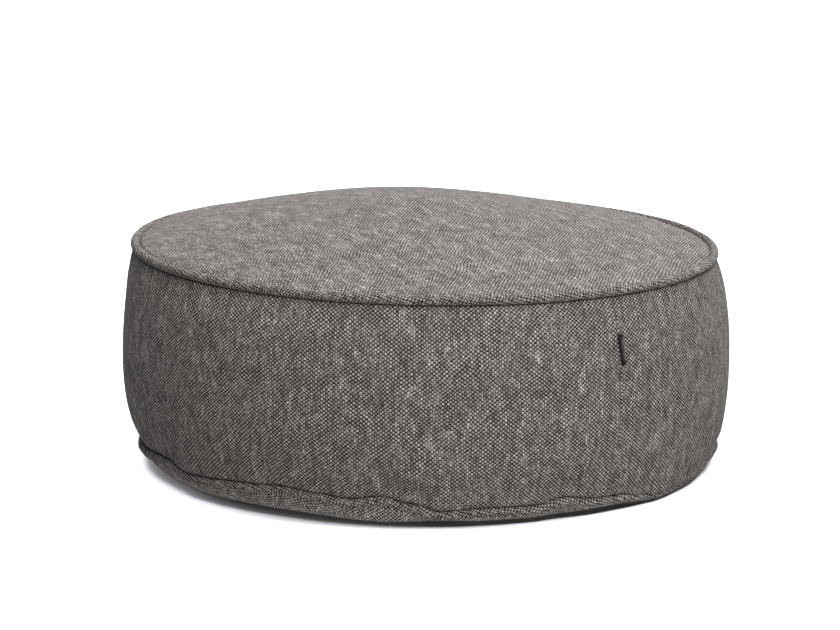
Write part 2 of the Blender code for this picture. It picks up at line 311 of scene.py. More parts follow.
def crown_points(degrees, share, below=0.0):
    """Top of the filling or of the top round; share is 0 at the peak, 1 at the rim."""
    seam = upper_seam(degrees)
    rim_height = TOP_SEAM_HEIGHT + (seam.height - TOP_SEAM_HEIGHT) * share + RIM_LIFT
    height = rim_height + CROWN * (1.0 - share ** CROWN_SLOPE) - below
    for row in SHOULDERS:
        aside = nearest_turn(degrees - row.angle) / row.spread
        outwards = (share - row.share) / row.width
        near = np.exp(-aside ** 2 - outwards ** 2)
        height = height + row.lift * near * np.clip((1.0 - share) / SHOULDER_EDGE_STRIP, 0.0, 1.0)
    points = place(degrees, (seam.radius - RIM_INSET - below) * share, height)
    points[..., 0] += CROWN_SHIFT * (1.0 - share)
    return points


def curl_points(degrees, step, inside=0.0):
    """Quarter turn of the bottom round; step is 0 on the floor and 1 at its seam."""
    seam = lower_seam(degrees)
    tread = along_lower_seam("tread", degrees)
    reach = seam.radius - RIM_INSET - tread
    rise = seam.height - RIM_LIFT
    a = 0.5 * np.pi * step
    inward = np.stack(np.broadcast_arrays(-rise * np.sin(a), reach * np.cos(a)), -1)
    inward *= inside / np.linalg.norm(inward, axis=-1, keepdims=True)
    return place(degrees, tread + reach * np.sin(a) + inward[..., 0],
                 rise * (1.0 - np.cos(a)) + inward[..., 1])


def bed_points(degrees, seam, turn):
    """The groove that a cord lies in, at one turn about the cord."""
    spot = beside(seam, PIPING_RADIUS + PIPING_GAP, turn)
    return place(degrees, spot.radius, spot.height)


def eased(count):
    """Steps from 0 to 1 that lie closer together near both ends."""
    t = np.linspace(0.0, 1.0, count)
    return 0.5 * t + 0.5 * (0.5 - 0.5 * np.cos(np.pi * t))


def body_grid(degrees):
    """Rings from the middle of the crown to that of the base, and the side cloth's rows."""
    inside = CLOTH + GAP
    rings = [crown_points(degrees, share, inside) for share in FILL_SHARES]
    rings += [bed_points(degrees, upper_seam(degrees), turn)
              for turn in np.linspace(-180.0, UPPER_TURN, BED_STEPS, endpoint=False)]
    first = len(rings)
    rings += [band_points(degrees, rise) for rise in eased(BAND_ROWS)[::-1]]
    last = len(rings) - 1
    lower_turn = along_lower_seam("turn", degrees)
    for i in range(1, BED_STEPS + 1):
        turn = lower_turn + (180.0 - lower_turn) * i / BED_STEPS
        rings.append(bed_points(degrees, lower_seam(degrees), turn))
    rings += [curl_points(degrees, i / CURL_STEPS, CLOTH + CURL_GAP) for i in range(CURL_STEPS, -1, -1)]
    centre = np.zeros((len(degrees), 3))
    centre[:, 2] = CLOTH + CURL_GAP
    return np.array(rings + [centre]), first, last


DIRECTIONS = JOIN_ANGLE + np.arange(ROUND) * 360.0 / ROUND
body_rings, BAND_FIRST, BAND_LAST = body_grid(DIRECTIONS)
print("body grid:", body_rings.shape, "side cloth from ring", BAND_FIRST, "to", BAND_LAST)

# %% [markdown]
# ## From rings of points to a mesh
# A grid that closes on itself needs its faces joined across the last column. The
# cloth's own flat coordinates, in metres, go into a UV map called weave, so that the
# yarns follow the strip of cloth and not the room. The strip starts and ends at its
# joining seam, where the map jumps from its full length back to nothing.

# %% Make a mesh from rings
ONE_POINT = 1e-7


def put(name, data):
    """A new object of the scene."""
    thing = bpy.data.objects.new(name, data)
    bpy.context.scene.collection.objects.link(thing)
    return thing


def new_mesh(name, points, faces, on_cloth=None):
    """A smooth mesh; on_cloth is where each face's corners lie on the uncut cloth."""
    mesh = bpy.data.meshes.new(name)
    mesh.from_pydata(points, [], faces)
    if on_cloth is not None:
        layer = mesh.uv_layers.new(name="weave")
        layer.uv.foreach_set("vector", on_cloth.astype(np.float32).ravel())
    mesh.shade_smooth()
    return put(name, mesh)


def ring_mesh(name, rings, flat=None):
    """Mesh through closed rings. A ring whose points all coincide becomes one point.
    flat holds each point's place on the uncut cloth, with one column more than rings."""
    count = rings.shape[1]
    points = []
    index = np.zeros(rings.shape[:2], dtype=int)
    for r, ring in enumerate(rings):
        if np.ptp(ring, axis=0).max() < ONE_POINT:
            index[r] = len(points)
            points.append(ring[0])
        else:
            index[r] = len(points) + np.arange(count)
            points.extend(ring)
    faces = []
    spots = []
    for r in range(len(rings) - 1):
        for c in range(count):
            d = (c + 1) % count
            corners = [(r, c), (r + 1, c), (r + 1, d), (r, d)]
            places = [(r, c), (r + 1, c), (r + 1, c + 1), (r, c + 1)]
            kept = {}
            for corner, spot in zip(corners, places):
                kept.setdefault(int(index[corner]), spot)
            faces.append(tuple(kept))
            spots.extend(kept.values())
    at = np.array(spots)
    on_cloth = None if flat is None else flat[at[:, 0], at[:, 1]]
    return new_mesh(name, np.array(points).tolist(), faces, on_cloth)


def arc_lengths(rings):
    """How far each ring lies from the first, measured along the cloth."""
    steps = np.linalg.norm(np.diff(rings, axis=0), axis=-1)
    return np.concatenate([np.zeros((1, rings.shape[1])), np.cumsum(steps, axis=0)])


# %% [markdown]
# ## Letting the side cloth settle
# The lofted strip is too even. On the real pouf the cloth is held at both seams and
# pressed out by the filling, and the little slack that is left goes into soft waves.
# That is what a cloth simulation does well: the strip is pinned at its two edges, the
# filling is a pressure, and gravity is off because the filling carries the cloth. It
# starts 1.5 mm inside its true place. Afterwards its broad swell is taken off, which
# leaves the waves, and none of them may reach 3.5 mm, so the pouf keeps its size.

# %% Settle a sheet that is pinned at its edges
SIM_FRAMES = 20
CLOTH_SETTINGS = {
    "quality": 4,
    "mass": 0.4,
    "tension_stiffness": 20.0,
    "compression_stiffness": 20.0,
    "shear_stiffness": 8.0,
    "bending_stiffness": 1.5,
    "use_pressure": True,
    "uniform_pressure_force": 4.0,
    "vertex_group_mass": "pinned",
}


def settle(piece, pinned, slack):
    """Points of the piece after its cloth has settled; slack is a share of its size."""
    scene = bpy.context.scene
    group = piece.vertex_groups.new(name="pinned")
    group.add([int(i) for i in pinned], 1.0, "REPLACE")
    cloth = piece.modifiers.new("cloth", "CLOTH")
    for setting, value in CLOTH_SETTINGS.items():
        setattr(cloth.settings, setting, value)
    cloth.settings.shrink_min = -slack
    cloth.settings.effector_weights.gravity = 0.0
    cloth.collision_settings.use_collision = False
    cloth.point_cache.frame_start = 1
    cloth.point_cache.frame_end = SIM_FRAMES
    for number in range(1, SIM_FRAMES + 1):
        scene.frame_set(number)
    shown = piece.evaluated_get(bpy.context.evaluated_depsgraph_get())
    settled = np.empty(len(piece.data.vertices) * 3, dtype=np.float32)
    shown.data.vertices.foreach_get("co", settled)
    piece.modifiers.remove(cloth)
    piece.vertex_groups.remove(group)
    scene.frame_set(1)
    return settled.reshape(-1, 3).astype(float)


def blurred(field, down, round_):
    """Field averaged over a window of rows and of columns, closed round the pouf."""
    for _ in range(2):
        kernel = np.ones(2 * round_ + 1) / (2 * round_ + 1)
        around = np.concatenate([field[:, -round_:], field, field[:, :round_]], axis=1)
        field = np.apply_along_axis(np.convolve, 1, around, kernel, "valid")
        kernel = np.ones(2 * down + 1) / (2 * down + 1)
        above = np.pad(field, ((down, down), (0, 0), (0, 0)), mode="edge")
        field = np.apply_along_axis(np.convolve, 0, above, kernel, "valid")
    return field


def held_back(moves, most):
    """The moves, the long ones shortened so that none reaches this length."""
    length = np.linalg.norm(moves, axis=-1, keepdims=True)
    return moves * (most / (most + length))


# %% The side cloth, settled
START_INSET = 0.0015
BAND_SLACK = 0.012
# The mean over this many rows and columns on each side is taken off
BAND_WINDOW = (9, 24)
BAND_MOST_MOVED = 0.0035


def settled_band(rings):
    """How the simulation moves each point of the side cloth."""
    inside = rings.copy()
    inside[..., :2] *= 1.0 - START_INSET / SEAM_RADIUS
    rise = np.linspace(0.0, 1.0, len(rings))[:, None, None]
    start = rings + (inside - rings) * np.sin(np.pi * rise)
    strip = ring_mesh("settling_strip", start)
    edges = np.arange(len(start) * ROUND).reshape(len(start), ROUND)[[0, -1]].ravel()
    moved = settle(strip, edges, BAND_SLACK).reshape(start.shape) - start
    bpy.data.objects.remove(strip, do_unlink=True)
    return moved


band = body_rings[BAND_FIRST:BAND_LAST + 1]
moved = settled_band(band)
print("side cloth moved by up to, mm:", round(float(np.abs(moved).max()) * 1000, 2))
uneven = held_back(moved - blurred(moved, *BAND_WINDOW), BAND_MOST_MOVED)
print("kept of that, mm:", round(float(np.abs(uneven).max()) * 1000, 2))
body_rings[BAND_FIRST:BAND_LAST + 1] += uneven

# %% [markdown]
# ## The joining seam
# The strip's two ends meet in one upright seam, right of the middle. From the outside
# such a seam is a narrow dent where both ends turn in, with the yarns of one side cut
# off against the other's. A few columns of points are put in there, after the
# settling, because the dent is narrower than a cell of the grid.

# %% Add columns at the joining seam and press the dent in
JOIN_DEPTH = 0.0013
JOIN_HALF_WIDTH = 0.0022
JOIN_SHARPNESS = 1.5
JOIN_COLUMNS = (0.0007, 0.0014, 0.0022, 0.0034)


def insert_columns(rings, degrees):
    """The rings with more columns on both sides of the joining seam."""
    step = 360.0 / ROUND
    offsets = np.degrees(np.array(JOIN_COLUMNS) / SEAM_RADIUS)
    left, here, right = rings[:, -1], rings[:, 0], rings[:, 1]
    after = [here + (right - here) * (o / step) for o in offsets]
    before = [here + (left - here) * (o / step) for o in offsets[::-1]]
    columns = [here] + after + [rings[:, i] for i in range(1, rings.shape[1])] + before
    turned = [degrees[0]] + list(degrees[0] + offsets) + list(degrees[1:])
    turned += list(degrees[0] + 360.0 - offsets[::-1])
    return np.stack(columns, axis=1), np.array(turned)


body_rings, body_degrees = insert_columns(body_rings, DIRECTIONS)
aside = np.abs(np.radians(nearest_turn(body_degrees - JOIN_ANGLE))) * SEAM_RADIUS
dent = JOIN_DEPTH * np.maximum(0.0, 1.0 - aside / JOIN_HALF_WIDTH) ** JOIN_SHARPNESS
for ring in range(BAND_FIRST + 1, BAND_LAST):
    body_rings[ring] -= place(body_degrees, dent, 0.0)

around = np.radians(np.append(body_degrees, body_degrees[0] + 360.0) - JOIN_ANGLE) * SEAM_RADIUS
down = arc_lengths(body_rings)
down = down - down[BAND_FIRST]
down = np.concatenate([down, down[:, :1]], axis=1)
body_flat = np.stack(np.broadcast_arrays(around[None, :], down), -1)
body = ring_mesh("pouf_body", body_rings, body_flat)
print("pouf_body faces:", len(body.data.polygons))

# %% [markdown]
# ## The top round
# A round of cloth lies over the crown and is sewn to the upper cord. Its mesh is a
# square grid that is pushed out to a circle, which has no crowded middle as a wheel
# of spokes would, so it settles evenly. Its grain lies at an angle to the viewer.

# %% Square grid pushed out to a circle
def disc_grid(cells):
    """Share of the radius and direction of each point of a square grid made round."""
    line = np.linspace(-1.0, 1.0, cells + 1)
    x, y = np.meshgrid(line, line)
    share = np.maximum(np.abs(x), np.abs(y))
    long_side = np.where(share > 0.0, share, 1.0)
    flat = np.abs(x) >= np.abs(y)
    eighth = 45.0 * np.where(flat, y / long_side * np.sign(x), x / long_side * np.sign(y))
    degrees = np.where(flat, np.where(x >= 0.0, 90.0, -90.0), np.where(y >= 0.0, 180.0, 0.0))
    degrees = degrees + np.where(flat, eighth, -eighth)
    return share, degrees


def grid_sheet(name, points, flat):
    """Mesh through a grid of points; flat holds each one's place on the uncut cloth."""
    rows, columns = points.shape[:2]
    index = np.arange(rows * columns).reshape(rows, columns)
    corners = (index[:-1, :-1], index[:-1, 1:], index[1:, 1:], index[1:, :-1])
    faces = np.stack(corners, -1).reshape(-1, 4)
    on_cloth = flat.reshape(-1, 2)[faces.ravel()]
    return new_mesh(name, points.reshape(-1, 3).tolist(), faces.tolist(), on_cloth)


def turned_grain(points, degrees):
    """Flat place on the cloth of points seen from above, with the grain turned."""
    a = math.radians(degrees)
    x, y = points[..., 0], points[..., 1]
    return np.stack([x * math.cos(a) + y * math.sin(a), y * math.cos(a) - x * math.sin(a)], -1)


def apply(piece, modifier):
    """Works a modifier into the piece's own mesh."""
    with bpy.context.temp_override(object=piece, active_object=piece, selected_objects=[piece]):
        bpy.ops.object.modifier_apply(modifier=modifier.name)


def thicken(piece, thickness):
    """Makes the open sheet a closed one; its outer face stays where it is."""
    solid = piece.modifiers.new("cloth thickness", "SOLIDIFY")
    solid.thickness = thickness
    solid.offset = -1.0
    solid.use_even_offset = True
    apply(piece, solid)


# %% The top round, laid on the crown and settled
TOP_CELLS = 108
TOP_GRAIN = 36.0
TOP_SLACK = 0.003
TOP_WINDOW = (10, 10)
TOP_MOST_MOVED = 0.002
# Beyond this share of the radius lies the rim
RIM_SHARE = 0.999
# Just inside the rim the cloth dips to the cord
RIM_ROLL = 0.0022
RIM_ROLL_SHARE = 0.978

top_share, top_degrees = disc_grid(TOP_CELLS)
top_points = crown_points(top_degrees, top_share)
top_flat = turned_grain(top_points, TOP_GRAIN)
sheet = grid_sheet("settling_top", top_points, top_flat)
rim = np.flatnonzero(top_share.ravel() > RIM_SHARE)
lifted = settle(sheet, rim, TOP_SLACK).reshape(top_points.shape) - top_points
bpy.data.objects.remove(sheet, do_unlink=True)
print("top round moved by up to, mm:", round(float(np.abs(lifted).max()) * 1000, 2))
lifted -= blurred(lifted, *TOP_WINDOW) * (top_share < RIM_SHARE)[..., None]
top_points = top_points + held_back(lifted, TOP_MOST_MOVED)
rolled = np.clip((top_share - RIM_ROLL_SHARE) / (1.0 - RIM_ROLL_SHARE), 0.0, 1.0)
top_points[..., 2] -= RIM_ROLL * rolled ** 2
top_round = grid_sheet("top_round", top_points, top_flat)
thicken(top_round, CLOTH)
print("top_round faces:", len(top_round.data.polygons))

# %% [markdown]
# ## The bottom round
# Underneath lies another round. It is flat where the pouf stands on it, and its outer
# inch curls up to the lower cord. From the front that curl is the pale strip under the
# side cloth.

# %% Bottom round with its curl
UNDER_CURL = 10
UNDER_SHARES = (0.97, 0.85, 0.6, 0.3)
under_rings = [curl_points(DIRECTIONS, i / UNDER_CURL) for i in range(UNDER_CURL, -1, -1)]
tread = along_lower_seam("tread", DIRECTIONS)
under_rings += [place(DIRECTIONS, tread * share, 0.0) for share in UNDER_SHARES]
under_rings = np.array(under_rings + [np.zeros((ROUND, 3))])
inward = arc_lengths(under_rings)
under_flat = place(DIRECTIONS, inward[-1] - inward, 0.0)[..., :2]
under_flat = np.concatenate([under_flat, under_flat[:, :1]], axis=1)
bottom_round = ring_mesh("bottom_round", under_rings, under_flat)
thicken(bottom_round, CLOTH)

# %% [markdown]
# ## The two corded edges
# Piping is a cord wrapped in a strip of the same cloth, cut aslant so that it bends
# round without creasing, and its ribs lean a little from upright. A curve with a round
# bevel would do, but a ring of circles carries the cloth's own coordinates, which run
# along the cord and round it.

# %% Tubes that follow the seams
PIPING_SIDES = 18
PIPING_GRAIN = 24.0
# The cord is uneven: each place is averaged with its neighbours, then kept in bounds
PIPING_INSET = 0.0001
PIPING_UNEVEN = 0.00022
PIPING_NEIGHBOURS = 3
PIPING_SWING = 1.6
PIPING_THINNEST, PIPING_THICKEST = -1.0, 0.6
TUBE_MERGE = 0.00001


def piping(name, seam, seed):
    """A closed tube along a seam."""
    at = seam(DIRECTIONS)
    centre = place(DIRECTIONS, at.radius, at.height)
    ahead = np.roll(centre, -1, axis=0) - np.roll(centre, 1, axis=0)
    ahead /= np.linalg.norm(ahead, axis=-1, keepdims=True)
    up = np.array([0.0, 0.0, 1.0]) - ahead * ahead[:, 2:3]
    up /= np.linalg.norm(up, axis=-1, keepdims=True)
    out = np.cross(ahead, up)
    near = PIPING_NEIGHBOURS
    uneven = np.random.default_rng(seed).normal(size=ROUND)
    closed = np.concatenate([uneven[-near:], uneven, uneven[:near]])
    smooth = np.convolve(closed, np.ones(2 * near + 1) / (2 * near + 1), "valid")
    swing = np.clip(smooth * PIPING_SWING, PIPING_THINNEST, PIPING_THICKEST)
    radius = PIPING_RADIUS - PIPING_INSET + PIPING_UNEVEN * swing
    rings = []
    for i in range(PIPING_SIDES):
        a = 2.0 * math.pi * i / PIPING_SIDES
        rings.append(centre + (out * math.cos(a) + up * math.sin(a)) * radius[:, None])
    rings = np.array(rings + rings[:1])
    steps = np.linalg.norm(np.diff(centre, axis=0, append=centre[:1]), axis=1)
    along = np.concatenate([[0.0], np.cumsum(steps)])
    about = np.linspace(0.0, 2.0 * math.pi * PIPING_RADIUS, PIPING_SIDES + 1)
    flat = np.stack(np.broadcast_arrays(along[None, :], about[:, None]), -1)
    tube = ring_mesh(name, rings, turned_grain(flat, PIPING_GRAIN))
    merge = tube.modifiers.new("close the tube", "WELD")
    merge.merge_threshold = TUBE_MERGE
    apply(tube, merge)
    return tube


upper_piping = piping("upper_piping", upper_seam, seed=3)
lower_piping = piping("lower_piping", lower_seam, seed=5)
print("piping faces:", len(upper_piping.data.polygons), len(lower_piping.data.polygons))

# %% [markdown]
# ## The tab in the joining seam
# A short ribbon, folded in two, is caught in the joining seam, its fold outwards. It
# is a strip bent round a path and given a thickness, which keeps the open slit between
# its two layers. It is bare.

# %% Folded ribbon
TAB_LOW = 0.1930
TAB_HIGH = 0.2325
TAB_REACH = 0.0096
TAB_RIBBON = 0.0007
TAB_SPLIT = 0.0010
TAB_LEAN = 5.0
# The free end bows sideways by this much, in this wave along it, and tapers a little
TAB_BOW = 0.0009
TAB_BOW_WAVE, TAB_BOW_START = 3.0, 0.6
TAB_TAPER = 0.03
TAB_ROWS = 14
LAYER_POINTS = 8
FOLD_POINTS = 9
FOLD_TURN = 1.57


def tab_path():
    """Middle line of the ribbon, outwards and sideways from the seam."""
    half = 0.5 * TAB_SPLIT
    bend = TAB_REACH - half - 0.5 * TAB_RIBBON
    turns = np.linspace(-FOLD_TURN, FOLD_TURN, FOLD_POINTS)[1:-1]
    there = [(x, -half) for x in np.linspace(0.0, bend, LAYER_POINTS)]
    fold = [(bend + half * math.cos(a), half * math.sin(a)) for a in turns]
    back = [(x, half) for x in np.linspace(bend, 0.0, LAYER_POINTS)]
    return np.array(there + fold + back)


def seam_bed(height):
    """Point on the side cloth at the joining seam, at this height."""
    here = np.array([JOIN_ANGLE])
    low = band_points(here, 0.0)[0, 2]
    high = band_points(here, 1.0)[0, 2]
    return Vector(band_points(here, (height - low) / (high - low))[0])


path = tab_path()
tab_up = (seam_bed(TAB_HIGH) - seam_bed(TAB_LOW)).normalized()
tab_out = Vector(place(JOIN_ANGLE, 1.0, 0.0))
tab_out = (tab_out - tab_up * tab_out.dot(tab_up)).normalized()
tab_side = tab_up.cross(tab_out)
tab_height = TAB_HIGH - TAB_LOW
lean = Matrix.Rotation(math.radians(TAB_LEAN), 3, tab_out)
middle = seam_bed(0.5 * (TAB_LOW + TAB_HIGH))
grid = np.zeros((TAB_ROWS + 1, len(path), 3))
for r in range(TAB_ROWS + 1):
    t = r / TAB_ROWS - 0.5
    for c, (x, y) in enumerate(path):
        bow = TAB_BOW * (x / TAB_REACH) ** 2 * math.sin(TAB_BOW_WAVE * t + TAB_BOW_START)
        outwards = x * (1.0 - TAB_TAPER * t)
        spot = tab_out * outwards + tab_side * (y + bow) + tab_up * (t * tab_height)
        grid[r, c] = middle + lean @ spot
run = np.concatenate([[0.0], np.cumsum(np.linalg.norm(np.diff(path, axis=0), axis=1))])
rise = np.arange(TAB_ROWS + 1) * tab_height / TAB_ROWS
tab_flat = np.stack(np.broadcast_arrays(run[None, :], rise[:, None]), -1)
seam_tab = grid_sheet("seam_tab", grid, tab_flat)
thicken(seam_tab, TAB_RIBBON)
print("tab ribbon, mm:", round(float(run[-1]) * 1000, 1), "by", round(tab_height * 1000, 1))

# %% [markdown]
# ## The weave
# All the cloth is one plain weave: pale grey warp yarns, thick and uneven, cross over
# and under dark weft yarns. From a step away that is a fine chequer of pale floats and
# dark ones. An image would be the quick way, but it would blur close up and show its
# repeat. Here each yarn is worked out instead. A warp yarn rises and falls as a wave
# along its length, the weft does the opposite, both are round across, and whichever
# is higher is the one that shows.

# %% A small helper that writes sums as nodes
class Sums:
    """Adds maths nodes to a tree, each one a step of a sum."""

    def __init__(self, tree):
        self.tree = tree

    def add(self, kind, **sets):
        node = self.tree.nodes.new(kind)
        for name, value in sets.items():
            setattr(node, name, value)
        return node

    def feed(self, socket, value):
        if isinstance(value, bpy.types.NodeSocket):
            self.tree.links.new(value, socket)
        else:
            socket.default_value = value

    def fed(self, node, values):
        for socket, value in zip(node.inputs, values):
            self.feed(socket, value)
        return node.outputs[0]

    def do(self, operation, *values):
        return self.fed(self.add("ShaderNodeMath", operation=operation), values)

    def vec(self, operation, *values):
        return self.fed(self.add("ShaderNodeVectorMath", operation=operation), values)

    def split(self, vector):
        node = self.add("ShaderNodeSeparateXYZ")
        self.feed(node.inputs[0], vector)
        return tuple(node.outputs)

    def join(self, x, y, z=0.0):
        return self.fed(self.add("ShaderNodeCombineXYZ"), (x, y, z))

    def toned(self, colour, factor):
        return self.vec("MULTIPLY", colour, self.join(factor, factor, factor))

    def blend(self, share, without, full):
        node = self.add("ShaderNodeMix", data_type="VECTOR")
        self.feed(node.inputs["Factor"], share)
        self.feed(node.inputs[4], without)
        self.feed(node.inputs[5], full)
        return node.outputs[1]

    def noise(self, vector, scale, detail=2.0, roughness=0.5):
        node = self.add("ShaderNodeTexNoise", noise_dimensions="3D")
        self.feed(node.inputs["Vector"], vector)
        node.inputs["Scale"].default_value = scale
        node.inputs["Detail"].default_value = detail
        node.inputs["Roughness"].default_value = roughness
        return node.outputs[0], node.outputs[1]

    def ramp(self, value, low, high, to_low=0.0, to_high=1.0, smooth=False):
        node = self.add("ShaderNodeMapRange")
        node.interpolation_type = "SMOOTHSTEP" if smooth else "LINEAR"
        return self.fed(node, (value, low, high, to_low, to_high))


# %% The plain weave as a group of nodes
WARP_PITCH = 0.0030
WEFT_PITCH = 0.00255
WARP_LEAD = 0.12
DARK_YARN = (0.024, 0.0212, 0.0198)
# How fast each pattern changes across the warp yarns and along them, in yarns
TIGHT_PACE = (0.16, 0.06, 0.0)
MOTTLE_PACE = (0.20, 0.10, 0.0)
STREAK_PACE = (0.66, 0.06, 0.0)
SLUB_PACE = 0.22
# Neighbouring yarns lie this far apart in the pattern of slubs, so they differ
SLUB_APART = 5.17
# At 2.0 a yarn is a half circle just as wide as its cell; less makes it wider
YARN_ROUNDNESS = 1.9


def make_weave():
    """Node group that turns a place on the cloth into a colour and a height."""
    tree = bpy.data.node_groups.new("plain weave", "ShaderNodeTree")
    face = tree.interface
    for name, kind in (("Place", "NodeSocketVector"), ("Warp tone", "NodeSocketColor"),
                       ("Sway", "NodeSocketFloat"), ("Streaks", "NodeSocketFloat")):
        face.new_socket(name, in_out="INPUT", socket_type=kind)
    face.new_socket("Colour", in_out="OUTPUT", socket_type="NodeSocketColor")
    face.new_socket("Height", in_out="OUTPUT", socket_type="NodeSocketFloat")
    s = Sums(tree)
    given = s.add("NodeGroupInput").outputs
    gives = s.add("NodeGroupOutput")

    # Yarn counts, with the yarns wandering a little from their straight lines
    def wander(scale, reach):
        centred = s.vec("SUBTRACT", s.noise(counts, scale, 1.0)[1], (0.5, 0.5, 0.5))
        return s.vec("MULTIPLY", centred, reach)

    counts = s.vec("DIVIDE", given["Place"], (WARP_PITCH, WEFT_PITCH, 1.0))
    broad = wander(0.055, (2.4, 2.4, 0.0))
    close = wander(0.4, (0.7, 0.55, 0.0))
    sway = s.join(given["Sway"], given["Sway"], 0.0)
    counts = s.vec("ADD", counts, s.vec("MULTIPLY", s.vec("ADD", broad, close), sway))
    cell = s.vec("FLOOR", counts)
    x, y, _ = s.split(s.vec("SUBTRACT", s.vec("SUBTRACT", counts, cell), (0.5, 0.5, 0.0)))
    i, j, _ = s.split(cell)
    count_x, count_y, _ = s.split(counts)

    # Which yarn is up in this cell, and how each one rises and falls
    parity = s.do("FLOORED_MODULO", s.do("ADD", i, j), 2.0)
    sign = s.do("MULTIPLY_ADD", parity, -2.0, 1.0)
    warp_wave = s.do("MULTIPLY", sign, s.do("COSINE", s.do("MULTIPLY", y, math.pi)))
    weft_wave = s.do("MULTIPLY", sign, s.do("COSINE", s.do("MULTIPLY", x, math.pi)))

    def roundness(across):
        squared = s.do("POWER", s.do("ABSOLUTE", s.do("MULTIPLY", across, YARN_ROUNDNESS)), 2.0)
        return s.do("SQRT", s.do("MAXIMUM", s.do("SUBTRACT", 1.0, squared), 0.0))

    def patches(pace):
        return s.noise(s.vec("MULTIPLY", counts, pace), 1.0, 3.0, 0.7)[0]

    warp = s.do("ADD", s.do("MULTIPLY", warp_wave, 0.5), s.do("MULTIPLY", roundness(x), 0.6))
    weft = s.do("ADD", s.do("MULTIPLY", weft_wave, -0.5), s.do("MULTIPLY", roundness(y), 0.6))
    tight = patches(TIGHT_PACE)
    fuzz = s.noise(counts, 2.6, 2.0, 0.6)[0]
    chance = s.add("ShaderNodeTexWhiteNoise", noise_dimensions="3D")
    s.feed(chance.inputs[0], s.vec("ADD", cell, (0.5, 0.5, 3.0)))
    lead = s.do("ADD", WARP_LEAD, s.ramp(tight, 0.35, 0.65, -0.30, 0.55))
    lead = s.do("ADD", lead, s.ramp(chance.outputs[0], 0.0, 1.0, -0.34, 0.34))
    warp = s.do("ADD", warp, s.do("ADD", lead, s.ramp(fuzz, 0.25, 0.75, -0.22, 0.22)))
    over = s.ramp(s.do("SUBTRACT", warp, weft), -0.16, 0.16, smooth=True)
    height = s.do("MAXIMUM", warp, weft)

    # Thick and thin places along each yarn, groups of yarns that are paler or darker, and painted shade
    # at the yarns' sides and in the hollows where they cross
    on_warp = s.join(s.do("MULTIPLY", i, SLUB_APART), s.do("MULTIPLY", count_y, SLUB_PACE), 0.0)
    on_weft = s.join(s.do("MULTIPLY", count_x, SLUB_PACE), s.do("MULTIPLY", j, SLUB_APART), 7.0)
    slub_warp = s.ramp(s.noise(on_warp, 1.0, 2.0)[0], 0.3, 0.7, 0.6, 1.4)
    slub_weft = s.ramp(s.noise(on_weft, 1.0, 2.0)[0], 0.3, 0.7, 0.5, 1.7)
    speck = s.add("ShaderNodeTexWhiteNoise", noise_dimensions="3D")
    s.feed(speck.inputs[0], cell)
    streak = s.ramp(patches(STREAK_PACE), 0.3, 0.7, -1.0, 1.0)
    streaky = s.do("MULTIPLY_ADD", streak, given["Streaks"], 1.0)
    paler_warp = s.do("MULTIPLY", slub_warp, s.ramp(speck.outputs[0], 0.0, 1.0, 0.8, 1.2))
    paler_warp = s.do("MULTIPLY", paler_warp, streaky)
    paler_weft = s.do("MULTIPLY", slub_weft, s.ramp(speck.outputs[0], 0.0, 1.0, 1.2, 0.8))
    # Painted shade: the pale yarn darkens towards its sides, where it turns down between its neighbours
    yarn_edge_shade = s.ramp(s.do("ABSOLUTE", x), 0.26, 0.48, 1.0, 0.2, smooth=True)
    mottle = s.ramp(patches(MOTTLE_PACE), 0.3, 0.7, 0.84, 1.16)
    # Painted shade: yarns darken where they lie low, in the hollows where they cross; the mottle
    # multiplied in is random tone
    hollow_shade_and_mottle = s.do("MULTIPLY", s.ramp(height, 0.1, 0.8, 0.45, 1.0, smooth=True), mottle)
    paler_warp = s.do("MULTIPLY", paler_warp, yarn_edge_shade)
    light = s.toned(given["Warp tone"], s.do("MULTIPLY", paler_warp, hollow_shade_and_mottle))
    dark = s.toned(DARK_YARN, s.do("MULTIPLY", paler_weft, hollow_shade_and_mottle))
    s.feed(gives.inputs["Colour"], s.blend(over, dark, light))
    s.feed(gives.inputs["Height"], height)
    return tree


weave = make_weave()
print("weave nodes:", len(weave.nodes))

# %% [markdown]
# ## The cloths
# Every cloth on the pouf is that weave, so one recipe serves. Only the pale yarn's tone, how far the
# yarns sway and how streaky they are differ. The under cloth's paler yarn is painted light: the same
# cloth made paler to stand for the light that the floor throws up onto the curl. The yarns are matt,
# with a faint sheen on the top, and their relief is a bump.

# %% Cloth materials
PALE_YARN = (0.270, 0.246, 0.229)
# Painted light: the same yarn made paler for the curl underneath, standing for light thrown up from the
# floor
PAINTED_BOUNCE_LIT_YARN = (0.400, 0.364, 0.340)
YARN_RELIEF = 0.0007


def new_material(name):
    """A material, the sums that feed it, and its shader."""
    made = bpy.data.materials.new(name)
    made.use_nodes = True
    return made, Sums(made.node_tree), made.node_tree.nodes["Principled BSDF"]


def relief(s, shader, height, depth, strength):
    """Lets a height stand out from the surface as a bump."""
    bump = s.add("ShaderNodeBump")
    bump.inputs["Strength"].default_value = strength
    bump.inputs["Distance"].default_value = depth
    s.feed(bump.inputs["Height"], height)
    s.feed(shader.inputs["Normal"], bump.outputs[0])


